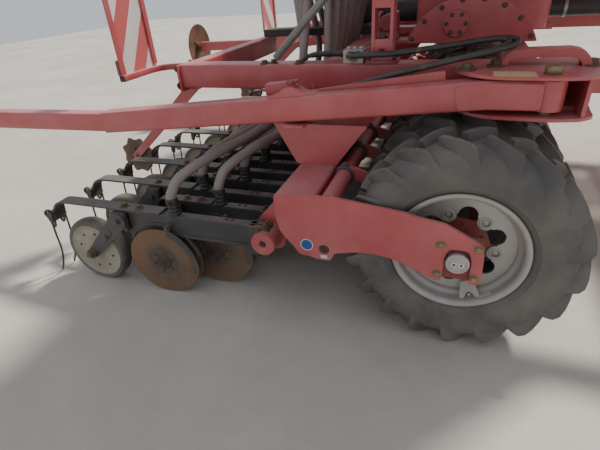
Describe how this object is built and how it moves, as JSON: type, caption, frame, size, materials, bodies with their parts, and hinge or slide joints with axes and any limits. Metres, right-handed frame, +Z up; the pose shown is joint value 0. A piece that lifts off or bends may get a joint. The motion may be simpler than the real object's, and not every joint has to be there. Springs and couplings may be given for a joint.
{
  "type": "folded seed drill",
  "caption": "Trailed disc seed drill with tyre packer, seed hopper and marker arms folded back along its sides, standing on packer and parking leg.",
  "frame": {"origin": "middle of the machine's box on the ground", "axes": "+X forward to the hitch eye, +Y to the machine's left, +Z up"},
  "size_m": [5.306, 3.032, 2.27],
  "materials": {
    "frame_red": "worn gloss",
    "wheel_grey": "dusty satin",
    "bare_steel": "dull",
    "rust": "rusty",
    "black_paint": "worn satin",
    "tyre": "dusty",
    "press_rubber": "dusty",
    "hose_black": "satin",
    "seed_hose": "ribbed matte",
    "lid_cover": "satin",
    "board": "scuffed",
    "lamp_red": "gloss",
    "alloy": "cast",
    "plastic_black": "matte"
  },
  "bodies": {
    "chassis": {"main_frame": "frame_red", "packer_frame": "frame_red", "scraper_bar": "frame_red", "scraper_blades": "black_paint", "drawbar": "frame_red", "hitch_eye": "bare_steel", "hopper": "frame_red", "hopper_stand": "frame_red", "metering_unit": "frame_red", "fan_housing": "frame_red", "air_pipe": "hose_black", "distributor": "plastic_black", "seed_hoses": "seed_hose", "steps": "black_paint", "board_carriers": "black_paint", "warning_boards": "board", "rear_lamps": "lamp_red", "hydraulic_block": "alloy", "hydraulic_hoses": "hose_black", "hose_springs": "bare_steel"},
    "packer_roller": {"packer_axle": "bare_steel", "packer_hubs": "frame_red", "packer_rims": "wheel_grey", "packer_tyres": "tyre"},
    "coulter_bar": {"coulter_frame": "frame_red", "coulter_arms_long": "black_paint", "coulter_arms_short": "black_paint", "seed_discs": "rust", "harrow_tines": "rust"},
    "press_wheels_long_row": {"press_wheels_long": "press_rubber"},
    "press_wheels_short_row": {"press_wheels_short": "press_rubber"},
    "marker_right": {"marker_arm_right": "frame_red"},
    "marker_left": {"marker_arm_left": "frame_red"},
    "marker_disc_r": {"marker_disc_right": "rust"},
    "marker_disc_l": {"marker_disc_left": "rust"},
    "premark_right": {"premark_arm_right": "frame_red"},
    "premark_left": {"premark_arm_left": "frame_red"},
    "premark_disc_r": {"premark_disc_right": "rust"},
    "premark_disc_l": {"premark_disc_left": "rust"},
    "leg": {"parking_leg": "bare_steel"},
    "lid": {"hopper_lid": "lid_cover"},
    "rotor": {"fan_rotor": "alloy"}
  },
  "joints": [
    {"name": "packer_spin", "type": "hinge", "parent": "chassis", "child": "packer_roller", "pos_m": [-0.09204, 0, 0.39], "axis": [0, 1, 0], "continuous": true},
    {"name": "coulter_lift", "type": "hinge", "parent": "chassis", "child": "coulter_bar", "pos_m": [-0.79204, 0, 0.34], "axis": [0, 1, 0], "range_deg": [0, 9], "deforming": ["seed_hoses"]},
    {"name": "press_long_spin", "type": "hinge", "parent": "coulter_bar", "child": "press_wheels_long_row", "pos_m": [-1.68003, 0, 0.16], "axis": [0, 1, 0], "continuous": true},
    {"name": "press_short_spin", "type": "hinge", "parent": "coulter_bar", "child": "press_wheels_short_row", "pos_m": [-1.48003, 0, 0.16], "axis": [0, 1, 0], "continuous": true},
    {"name": "marker_right_swing", "type": "hinge", "parent": "chassis", "child": "marker_right", "pos_m": [0.10797, -1.225, 0.86], "axis": [0, 0, 1], "range_deg": [0, 90]},
    {"name": "marker_left_swing", "type": "hinge", "parent": "chassis", "child": "marker_left", "pos_m": [0.10797, 1.225, 0.86], "axis": [0, 0, -1], "range_deg": [0, 90]},
    {"name": "marker_disc_right_spin", "type": "hinge", "parent": "marker_right", "child": "marker_disc_r", "pos_m": [-2.61997, -1.225, 0.69644], "axis": [1, 0, 0], "continuous": true},
    {"name": "marker_disc_left_spin", "type": "hinge", "parent": "marker_left", "child": "marker_disc_l", "pos_m": [-2.61997, 1.225, 0.69644], "axis": [1, 0, 0], "continuous": true},
    {"name": "premark_right_lift", "type": "hinge", "parent": "chassis", "child": "premark_right", "pos_m": [-1.40003, -0.8075, 0.79], "axis": [0, 1, 0], "range_deg": [-12, 28]},
    {"name": "premark_left_lift", "type": "hinge", "parent": "chassis", "child": "premark_left", "pos_m": [-1.40003, 0.8075, 0.79], "axis": [0, 1, 0], "range_deg": [-12, 28]},
    {"name": "premark_disc_right_spin", "type": "hinge", "parent": "premark_right", "child": "premark_disc_r", "pos_m": [-1.89203, -0.7915, 0.37], "axis": [0, 1, 0], "continuous": true},
    {"name": "premark_disc_left_spin", "type": "hinge", "parent": "premark_left", "child": "premark_disc_l", "pos_m": [-1.89203, 0.7915, 0.37], "axis": [0, 1, 0], "continuous": true},
    {"name": "parking_leg_slide", "type": "slide", "parent": "chassis", "child": "leg", "axis": [0, 0, 1], "range_m": [0, 0.4]},
    {"name": "hopper_lid_hinge", "type": "hinge", "parent": "chassis", "child": "lid", "pos_m": [0.10797, 1.218, 2.206], "axis": [-1, 0, 0], "range_deg": [0, 80]},
    {"name": "fan_spin", "type": "hinge", "parent": "chassis", "child": "rotor", "pos_m": [1.02797, 0.18, 1.19], "axis": [0, 1, 0], "continuous": true}
  ]
}
